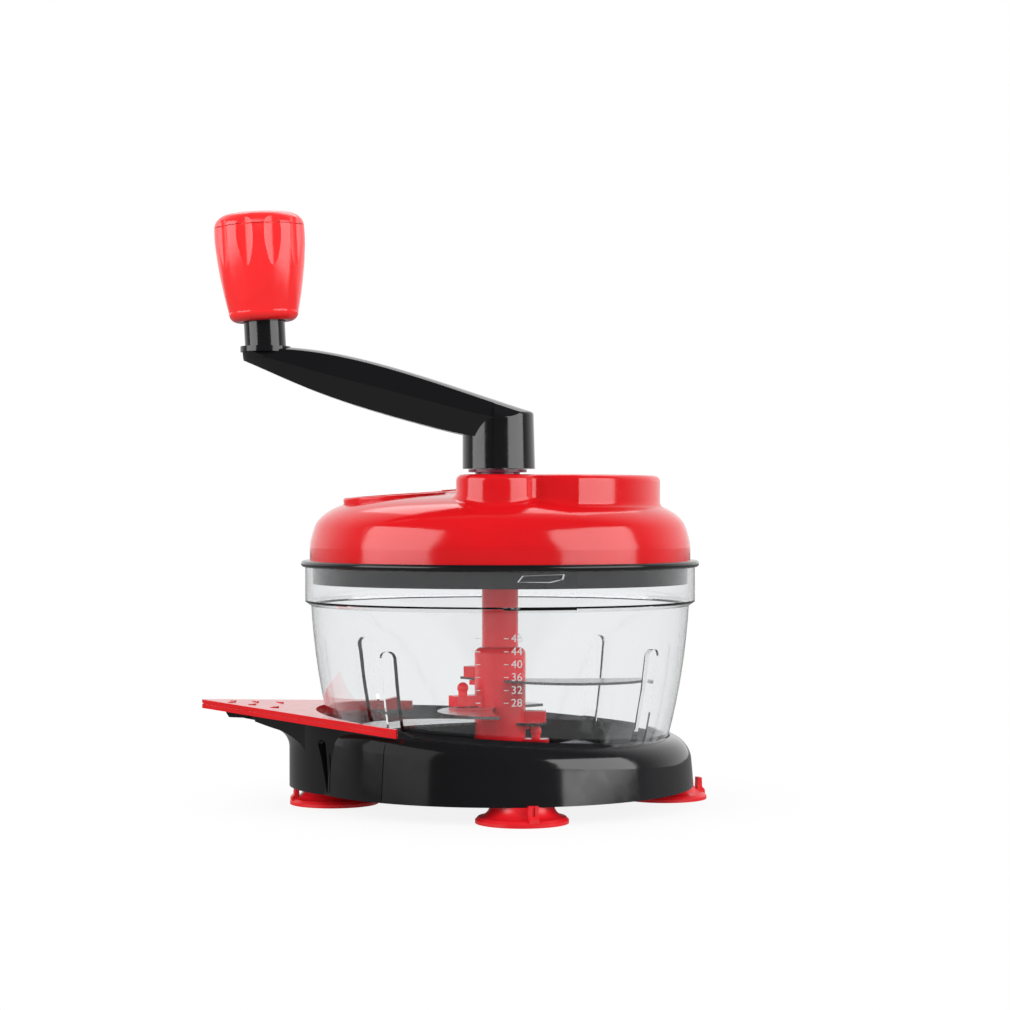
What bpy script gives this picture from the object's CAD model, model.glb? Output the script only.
import math

import bmesh
import bpy
from mathutils import Matrix, Vector
from mathutils.bvhtree import BVHTree


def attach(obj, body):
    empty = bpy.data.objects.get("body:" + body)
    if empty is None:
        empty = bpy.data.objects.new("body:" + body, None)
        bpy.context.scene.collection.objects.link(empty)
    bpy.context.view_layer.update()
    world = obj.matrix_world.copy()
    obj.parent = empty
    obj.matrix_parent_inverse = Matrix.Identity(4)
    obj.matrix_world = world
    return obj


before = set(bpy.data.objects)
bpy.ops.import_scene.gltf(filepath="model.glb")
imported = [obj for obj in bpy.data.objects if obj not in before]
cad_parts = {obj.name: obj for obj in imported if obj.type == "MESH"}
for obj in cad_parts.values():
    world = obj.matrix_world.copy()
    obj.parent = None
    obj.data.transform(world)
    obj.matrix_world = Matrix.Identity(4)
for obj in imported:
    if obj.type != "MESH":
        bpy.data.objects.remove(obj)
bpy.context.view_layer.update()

# Hand-crank food chopper: materials, moulded details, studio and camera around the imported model.
# Metres, in the model's own frame: origin under the bowl's axis, front towards -Y, +Z up.

scene = bpy.context.scene
scene.view_settings.view_transform = "Standard"
MM = 0.001

# ---- colours (linear) -------------------------------------------------------------------------
RED = (0.74, 0.008, 0.012)
KNOB_RED = (0.96, 0.024, 0.026)
POST_RED = (0.93, 0.014, 0.024)
CUP_RED = (0.80, 0.008, 0.016)
BLACK = (0.008, 0.008, 0.009)
BUSH_RED = (0.23, 0.03, 0.07)
CLEAR = (0.922, 0.932, 0.938)
NYLON = (0.78, 0.76, 0.70)
STEEL = (0.62, 0.62, 0.63)


# ---- material nodes ---------------------------------------------------------------------------
NOISE_LOW, NOISE_HIGH = 0.3, 0.7    # the range that most of a noise texture lies in
TONE_DOWN, TONE_UP = 0.93, 1.05     # slow drift of a plastic's colour
GLOSS_DOWN, GLOSS_UP = 0.8, 1.25    # patches of a plastic's roughness
GRIND_DOWN, GRIND_UP = 0.9, 1.08    # grinding marks' colour on steel
BOWL_IOR = 1.46
SHADOW_TINT = (0.93, 0.94, 0.945)   # what one wall of the bowl leaves of a lamp's light


def shader_of(name):
    """New material with its node tree and its Principled shader."""
    made = bpy.data.materials.new(name)
    made.use_nodes = True
    return made, made.node_tree, made.node_tree.nodes["Principled BSDF"]


def noise(tree, scale, detail=3.0, stretch=(1, 1, 1)):
    """Noise in the object's own coordinates; scale is waves per metre."""
    place = tree.nodes.new("ShaderNodeTexCoord")
    mapping = tree.nodes.new("ShaderNodeMapping")
    mapping.inputs["Scale"].default_value = stretch
    texture = tree.nodes.new("ShaderNodeTexNoise")
    texture.inputs["Scale"].default_value = scale
    texture.inputs["Detail"].default_value = detail
    tree.links.new(place.outputs["Object"], mapping.inputs["Vector"])
    tree.links.new(mapping.outputs["Vector"], texture.inputs["Vector"])
    return texture.outputs["Fac"]


def spread(tree, source, low, high):
    """A noise value stretched to run from low to high."""
    node = tree.nodes.new("ShaderNodeMapRange")
    node.inputs["From Min"].default_value = NOISE_LOW
    node.inputs["From Max"].default_value = NOISE_HIGH
    node.inputs["To Min"].default_value = low
    node.inputs["To Max"].default_value = high
    tree.links.new(source, node.inputs["Value"])
    return node.outputs["Result"]


def stretched(tree, source, low, high, to_low, to_high):
    """A value between low and high moved smoothly to between to_low and to_high."""
    node = tree.nodes.new("ShaderNodeMapRange")
    node.interpolation_type = "SMOOTHSTEP"
    for socket, value in (("From Min", low), ("From Max", high), ("To Min", to_low), ("To Max", to_high)):
        node.inputs[socket].default_value = value
    tree.links.new(source, node.inputs["Value"])
    return node.outputs["Result"]


def chosen(tree, flag, off, on):
    """Number that is off where the flag is 0 and on where it is 1; off and on may be sockets."""
    node = tree.nodes.new("ShaderNodeMix")
    for socket, value in (("A", off), ("B", on)):
        if isinstance(value, float):
            node.inputs[socket].default_value = value
        else:
            tree.links.new(value, node.inputs[socket])
    tree.links.new(flag, node.inputs["Factor"])
    return node.outputs["Result"]


def mixed(tree, source, first, second):
    """Colour between first and second, chosen by a value."""
    node = tree.nodes.new("ShaderNodeMix")
    node.data_type = "RGBA"
    node.inputs["A"].default_value = (*first, 1)
    node.inputs["B"].default_value = (*second, 1)
    tree.links.new(source, node.inputs["Factor"])
    return node.outputs["Result"]


def bumped(tree, source, depth, below=None):
    node = tree.nodes.new("ShaderNodeBump")
    node.inputs["Distance"].default_value = depth
    node.inputs["Strength"].default_value = 1.0
    tree.links.new(source, node.inputs["Height"])
    if below:
        tree.links.new(below, node.inputs["Normal"])
    return node.outputs["Normal"]


def scaled(colour, factor):
    return tuple(min(1.0, c * factor) for c in colour)


def plastic(name, colour, rough, ripple=6e-6, grain=2e-6, soft=0.0, specular=0.5):
    """Moulded plastic: slow colour drift, flow ripple, fine grain and patchy gloss."""
    made, tree, shader = shader_of(name)
    drift = spread(tree, noise(tree, 28, 2), 0, 1)
    tones = mixed(tree, drift, scaled(colour, TONE_DOWN), scaled(colour, TONE_UP))
    tree.links.new(tones, shader.inputs["Base Color"])
    gloss = spread(tree, noise(tree, 160, 4), rough * GLOSS_DOWN, rough * GLOSS_UP)
    tree.links.new(gloss, shader.inputs["Roughness"])
    ripples = bumped(tree, noise(tree, 240, 2), ripple)
    tree.links.new(bumped(tree, noise(tree, 2600, 2), grain, ripples), shader.inputs["Normal"])
    shader.inputs["Specular IOR Level"].default_value = specular
    if soft:
        shader.inputs["Subsurface Weight"].default_value = soft
        shader.inputs["Subsurface Radius"].default_value = (0.004, 0.0008, 0.0006)
        shader.inputs["Subsurface Scale"].default_value = 1.0
    return made


def clear_plastic(name):
    """Clear bowl: it bends what lies behind it, and lets light through to what it holds."""
    made, tree, shader = shader_of(name)
    shader.inputs["Base Color"].default_value = (*CLEAR, 1)
    shader.inputs["Transmission Weight"].default_value = 1.0
    shader.inputs["IOR"].default_value = BOWL_IOR
    shader.inputs["Specular IOR Level"].default_value = 0.18
    tree.links.new(spread(tree, noise(tree, 90, 3), 0.0, 0.035), shader.inputs["Roughness"])
    tree.links.new(bumped(tree, noise(tree, 70, 2), 4e-6), shader.inputs["Normal"])
    passing = tree.nodes.new("ShaderNodeBsdfTransparent")
    passing.inputs["Color"].default_value = (*SHADOW_TINT, 1)
    ray = tree.nodes.new("ShaderNodeLightPath")
    mix = tree.nodes.new("ShaderNodeMixShader")
    output = tree.nodes["Material Output"]
    tree.links.new(ray.outputs["Is Shadow Ray"], mix.inputs["Fac"])
    tree.links.new(shader.outputs["BSDF"], mix.inputs[1])
    tree.links.new(passing.outputs["BSDF"], mix.inputs[2])
    tree.links.new(mix.outputs["Shader"], output.inputs["Surface"])
    return made


def frosted(name):
    """Raised marks of the clear bowl, with a fine matt face."""
    made, tree, shader = shader_of(name)
    tint = spread(tree, noise(tree, 300, 2), 0, 1)
    tree.links.new(mixed(tree, tint, (0.90, 0.90, 0.91), (1.0, 1.0, 1.0)), shader.inputs["Base Color"])
    tree.links.new(spread(tree, noise(tree, 900, 2), 0.25, 0.45), shader.inputs["Roughness"])
    tree.links.new(bumped(tree, noise(tree, 3000, 2), 4e-6), shader.inputs["Normal"])
    shader.inputs["Transmission Weight"].default_value = 0.45
    return made


def brushed(name, stretch, rough=0.26, edge=1.0):
    """Steel with fine grinding marks along one direction; edge darkens the upright, ground sides."""
    made, tree, shader = shader_of(name)
    shader.inputs["Metallic"].default_value = 1.0
    lines = noise(tree, 420, 1, stretch)
    streaks = mixed(tree, spread(tree, lines, 0, 1), scaled(STEEL, GRIND_DOWN), scaled(STEEL, GRIND_UP))
    facing = tree.nodes.new("ShaderNodeNewGeometry")
    parts = tree.nodes.new("ShaderNodeSeparateXYZ")
    tree.links.new(facing.outputs["Normal"], parts.inputs[0])
    level = tree.nodes.new("ShaderNodeMath")
    level.operation = "ABSOLUTE"
    tree.links.new(parts.outputs["Z"], level.inputs[0])
    sides = mixed(tree, stretched(tree, level.outputs[0], 0.3, 0.9, 0.0, 1.0), scaled(STEEL, edge), STEEL)
    tree.links.new(streaks, sides.node.inputs["B"])
    tree.links.new(sides, shader.inputs["Base Color"])
    tree.links.new(spread(tree, lines, rough * 0.85, rough * 1.2), shader.inputs["Roughness"])
    tree.links.new(bumped(tree, lines, 1.5e-6), shader.inputs["Normal"])
    return made


MATERIALS = {
    "red": plastic("red_plastic_gloss", RED, 0.13, soft=0.05),
    "knob": plastic("knob_plastic_gloss", KNOB_RED, 0.16, soft=0.08),
    "post": plastic("post_plastic_gloss", POST_RED, 0.17, soft=0.05),
    "black": plastic("black_plastic_gloss", BLACK, 0.14, ripple=3e-6, grain=1e-6),
    "flange": plastic("black_plastic_flange", BLACK, 0.16, ripple=3e-6, grain=1e-6, specular=0.40),
    "base": plastic("black_plastic_base", scaled(BLACK, 1.4), 0.11, ripple=2.5e-6, grain=6e-7),
    "rubber": plastic("red_rubber", CUP_RED, 0.33, ripple=1.5e-5, grain=5e-6, soft=0.15),
    "bush": plastic("bush_plastic", BUSH_RED, 0.3),
    "nylon": plastic("gear_nylon", NYLON, 0.42, soft=0.1),
    "clear": clear_plastic("clear_plastic"),
    "frosted": frosted("clear_plastic_frosted"),
    "blade": brushed("blade_steel", (0.15, 2.4, 0.6), edge=0.22),
    "turned_steel": brushed("turned_steel", (1.0, 1.0, 6.0), 0.3),
}

FINISHES = {
    "red": ["lid_cover", "thumb_plate", "feed_cap"],
    "post": ["cutter_hub", "drive_shaft"] + ["blade_clip_" + str(i) for i in range(1, 5)],
    "knob": ["knob_body", "knob_cap"],
    "black": ["crank_arm"],
    "flange": ["lid_base"],
    "base": ["base_body"],
    "rubber": ["suction_cup_" + side for side in ("front", "right", "back", "left")],
    "bush": ["crank_bush", "output_bush"],
    "nylon": ["crank_gear", "idler_gear", "output_gear"],
    "clear": ["bowl"],
    "blade": ["blade_" + str(i) for i in range(1, 5)],
    "turned_steel": ["plate_screws", "pivot_pin", "cover_screws", "layshaft_pin", "crank_shaft",
                     "crank_screw", "knob_bolt", "shaft_screw"],
}


def dress(thing, material):
    thing.data.materials.clear()
    thing.data.materials.append(MATERIALS[material])


for finish, names in FINISHES.items():
    for name in names:
        dress(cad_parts[name], finish)


# ---- raised marks on the bowl -----------------------------------------------------------------
MARK_PROUD, MARK_SUNK = 0.25 * MM, 0.10 * MM
NUMBER_X, NUMBER_TALL = 7.4 * MM, 3.6 * MM
NUMBER_LEVELS = [80.7, 75.0, 69.4, 63.8, 58.1, 52.5]
NUMBERS = ["48", "44", "40", "36", "32", "28"]
FIGURE_SHARE = 0.72                 # height of a figure as a share of the font's size
TICK_LONG, TICK_TALL = 2.0 * MM, 0.35 * MM
TICK_XS = (-9.4, 2.8)
WEDGE = [(7.5, 105.2), (9.6, 107.9), (28.1, 108.5), (27.5, 106.3), (22.0, 104.9)]
WEDGE_LINE = 0.45
MITRE = 1.6                         # how much further a corner moves in than its two sides
LONGEST_EDGE, EDGE_CUTS = 2.5 * MM, 3
IN_FRONT = -0.3                     # a Y in front of the whole object


def wall_of(node):
    form = bmesh.new()
    form.from_mesh(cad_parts[node].data)
    tree = BVHTree.FromBMesh(form)
    form.free()
    return tree


BOWL_WALL = wall_of("bowl")


def on_wall(x, z, proud):
    """Point in front of the bowl's outside, seen from -Y."""
    hit = BOWL_WALL.ray_cast(Vector((x, IN_FRONT, z)), Vector((0, 1, 0)))
    return Vector((x, hit[0].y - proud, z))


def raised(name, flat):
    """Relief on the bowl from a flat mesh drawn in X and Y: Y becomes the height."""
    form = bmesh.new()
    form.from_mesh(flat)
    bmesh.ops.triangulate(form, faces=form.faces)
    long_edges = [edge for edge in form.edges if edge.calc_length() > LONGEST_EDGE]
    bmesh.ops.subdivide_edges(form, edges=long_edges, cuts=EDGE_CUTS)
    outer = list(form.verts)
    grown = bmesh.ops.extrude_face_region(form, geom=list(form.faces))
    fronts = [v for v in grown["geom"] if isinstance(v, bmesh.types.BMVert)]
    for vertex in outer:
        vertex.co = on_wall(vertex.co.x, vertex.co.y, -MARK_SUNK)
    for vertex in fronts:
        vertex.co = on_wall(vertex.co.x, vertex.co.y, MARK_PROUD)
    bmesh.ops.recalc_face_normals(form, faces=form.faces)
    mesh = bpy.data.meshes.new(name)
    form.to_mesh(mesh)
    form.free()
    piece = bpy.data.objects.new(name, mesh)
    scene.collection.objects.link(piece)
    piece.data.materials.append(MATERIALS["frosted"])
    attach(piece, "bowl")


def flat_number(text, x, z):
    """Flat mesh of a number, centred on x and z."""
    curve = bpy.data.curves.new("number", "FONT")
    curve.body = text
    curve.size = NUMBER_TALL / FIGURE_SHARE
    curve.align_x = "CENTER"
    curve.align_y = "CENTER"
    curve.resolution_u = 3
    curve.fill_mode = "FRONT"
    holder = bpy.data.objects.new("number", curve)
    scene.collection.objects.link(holder)
    bpy.context.view_layer.update()
    mesh = bpy.data.meshes.new_from_object(holder.evaluated_get(bpy.context.evaluated_depsgraph_get()))
    bpy.data.objects.remove(holder)
    mesh.transform(Matrix.Translation((x, z, 0)))
    return mesh


def flat_strips(loops):
    """Flat mesh from closed loops of corners."""
    form = bmesh.new()
    for loop in loops:
        form.faces.new([form.verts.new((x, z, 0)) for x, z in loop])
    mesh = bpy.data.meshes.new("strips")
    form.to_mesh(mesh)
    form.free()
    return mesh


def tick_loop(x, z):
    left, right = x - TICK_LONG / 2, x + TICK_LONG / 2
    low, high = z - TICK_TALL / 2, z + TICK_TALL / 2
    return [(left, low), (right, low), (right, high), (left, high)]


def outline_loops(corners, line):
    """One strip for each side of an outline, drawn inwards from its corners."""
    middle = Vector((sum(c[0] for c in corners), sum(c[1] for c in corners))) / len(corners)
    inner = []
    for corner in corners:
        inward = middle - Vector(corner)
        inner.append(Vector(corner) + inward.normalized() * line * MITRE)
    loops = []
    for i, corner in enumerate(corners):
        j = (i + 1) % len(corners)
        loops.append([corner, corners[j], tuple(inner[j]), tuple(inner[i])])
    return [[(x * MM, z * MM) for x, z in loop] for loop in loops]


for text, level in zip(NUMBERS, NUMBER_LEVELS):
    raised("volume_number_" + text, flat_number(text, NUMBER_X, level * MM))
ticks = [tick_loop(x * MM, level * MM) for level in NUMBER_LEVELS for x in TICK_XS]
raised("volume_ticks", flat_strips(ticks))
raised("lock_wedge", flat_strips(outline_loops(WEDGE, WEDGE_LINE)))


# ---- studio -----------------------------------------------------------------------------------
CAMERA_PLACE = (0.0023, -1.102, 0.1384)
CAMERA_LENS = 83.8
FLOOR_R = 6.0
FADE_START, FADE_END = 0.08, 0.17   # where the table turns from paint to plain white
FLOOR_GLOW = 0.87                   # share of plain white under the object
FLOOR_BOUNCE = 0.25                 # brightness of that white as the object's surfaces see it
FILL = 0.45                         # even light on every surface
ROOM = 0.06                         # what glossy surfaces mirror from in front
ROOM_FRONT, ROOM_BACK = -0.1, 0.75  # Y of the directions where the dark room turns into the white backdrop
AIM_HEIGHT = 0.12                   # height that the lamps face
SIDE_DISTANCE, SIDE_HEIGHT, SIDE_TALL = 1.6, 0.62, 1.2


def make_camera():
    data = bpy.data.cameras.new("camera")
    data.lens = CAMERA_LENS
    data.sensor_width = 36.0
    data.clip_start = 0.02
    eye = bpy.data.objects.new("camera", data)
    eye.location = CAMERA_PLACE
    eye.rotation_euler = (math.radians(90), 0, 0)
    scene.collection.objects.link(eye)
    scene.camera = eye


def softbox(name, bearing, distance, height, width, tall, radiance, flagged=(), only=()):
    """Lamp that faces the object; bearing 0 is in front, positive to the right.

    Flagged nodes miss its light; if any are named in only, no others get it.
    """
    turn = math.radians(bearing)
    place = Vector((math.sin(turn) * distance, -math.cos(turn) * distance, height))
    data = bpy.data.lights.new(name, "AREA")
    data.shape = "RECTANGLE"
    data.size = width
    data.size_y = tall
    data.energy = radiance * math.pi * width * tall
    lamp = bpy.data.objects.new(name, data)
    lamp.location = place
    lamp.rotation_euler = (Vector((0, 0, AIM_HEIGHT)) - place).to_track_quat("-Z", "Y").to_euler()
    scene.collection.objects.link(lamp)
    if flagged or only:
        receivers = bpy.data.collections.new(name + "_receivers")
        for node in flagged or only:
            receivers.objects.link(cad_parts[node])
        for entry in receivers.collection_objects:
            entry.light_linking.link_state = "EXCLUDE" if flagged else "INCLUDE"
        lamp.light_linking.receiver_collection = receivers


def seen_directly(tree, ray):
    """1 for what the eye sees itself or through the clear bowl, 0 for light and reflections."""
    node = tree.nodes.new("ShaderNodeMath")
    node.operation = "MAXIMUM"
    tree.links.new(ray.outputs["Is Camera Ray"], node.inputs[0])
    tree.links.new(ray.outputs["Is Transmission Ray"], node.inputs[1])
    return node.outputs[0]


def make_world():
    """White backdrop behind the object, a dark room in front of it, and even light to fill."""
    world = bpy.data.worlds.new("studio")
    world.use_nodes = True
    scene.world = world
    tree = world.node_tree
    tree.nodes.clear()
    output = tree.nodes.new("ShaderNodeOutputWorld")
    light = tree.nodes.new("ShaderNodeBackground")
    light.inputs["Color"].default_value = (1, 1, 1, 1)
    ray = tree.nodes.new("ShaderNodeLightPath")
    direction = tree.nodes.new("ShaderNodeTexCoord")
    parts = tree.nodes.new("ShaderNodeSeparateXYZ")
    tree.links.new(direction.outputs["Generated"], parts.inputs[0])
    mirrored = stretched(tree, parts.outputs["Y"], ROOM_FRONT, ROOM_BACK, ROOM, 1.0)
    strength = chosen(tree, ray.outputs["Is Glossy Ray"], FILL, mirrored)
    strength = chosen(tree, seen_directly(tree, ray), strength, 1.0)
    tree.links.new(strength, light.inputs["Strength"])
    tree.links.new(light.outputs[0], output.inputs["Surface"])


def make_floor():
    """White table: it takes the soft contact shadow near the object and glows white further out."""
    mesh = bpy.data.meshes.new("floor")
    form = bmesh.new()
    bmesh.ops.create_circle(form, cap_ends=True, segments=96, radius=FLOOR_R)
    form.to_mesh(mesh)
    form.free()
    floor = bpy.data.objects.new("floor", mesh)
    scene.collection.objects.link(floor)
    made, tree, shader = shader_of("floor_paint")
    tone = spread(tree, noise(tree, 3, 2), 0, 1)
    tree.links.new(mixed(tree, tone, (0.90, 0.90, 0.90), (0.93, 0.93, 0.93)), shader.inputs["Base Color"])
    shader.inputs["Roughness"].default_value = 0.7
    shader.inputs["Specular IOR Level"].default_value = 0.1
    place = tree.nodes.new("ShaderNodeTexCoord")
    length = tree.nodes.new("ShaderNodeVectorMath")
    length.operation = "LENGTH"
    tree.links.new(place.outputs["Object"], length.inputs[0])
    fade = stretched(tree, length.outputs["Value"], FADE_START, FADE_END, FLOOR_GLOW, 1.0)
    ray = tree.nodes.new("ShaderNodeLightPath")
    glow = tree.nodes.new("ShaderNodeEmission")
    glow.inputs["Color"].default_value = (1, 1, 1, 1)
    tree.links.new(chosen(tree, seen_directly(tree, ray), FLOOR_BOUNCE, 1.0), glow.inputs["Strength"])
    mix = tree.nodes.new("ShaderNodeMixShader")
    tree.links.new(fade, mix.inputs["Fac"])
    tree.links.new(shader.outputs["BSDF"], mix.inputs[1])
    tree.links.new(glow.outputs["Emission"], mix.inputs[2])
    tree.links.new(mix.outputs["Shader"], tree.nodes["Material Output"].inputs["Surface"])
    mesh.materials.append(made)


make_camera()
make_world()
make_floor()
softbox("softbox_left", -64, SIDE_DISTANCE, SIDE_HEIGHT, 1.5, SIDE_TALL, 4.0, flagged=["base_body", "bowl"])
softbox("softbox_base", -64, SIDE_DISTANCE, SIDE_HEIGHT, 1.5, SIDE_TALL, 0.7, only=["base_body"])
softbox("softbox_right", 61, SIDE_DISTANCE, SIDE_HEIGHT, 1.65, SIDE_TALL, 4.0, flagged=["bowl"])
softbox("softbox_knob", -8, 1.6, 1.15, 1.0, 1.0, 2.6, only=["knob_body", "knob_cap"])
softbox("softbox_top", 180, 1.2, 1.7, 1.6, 1.2, 2.0)
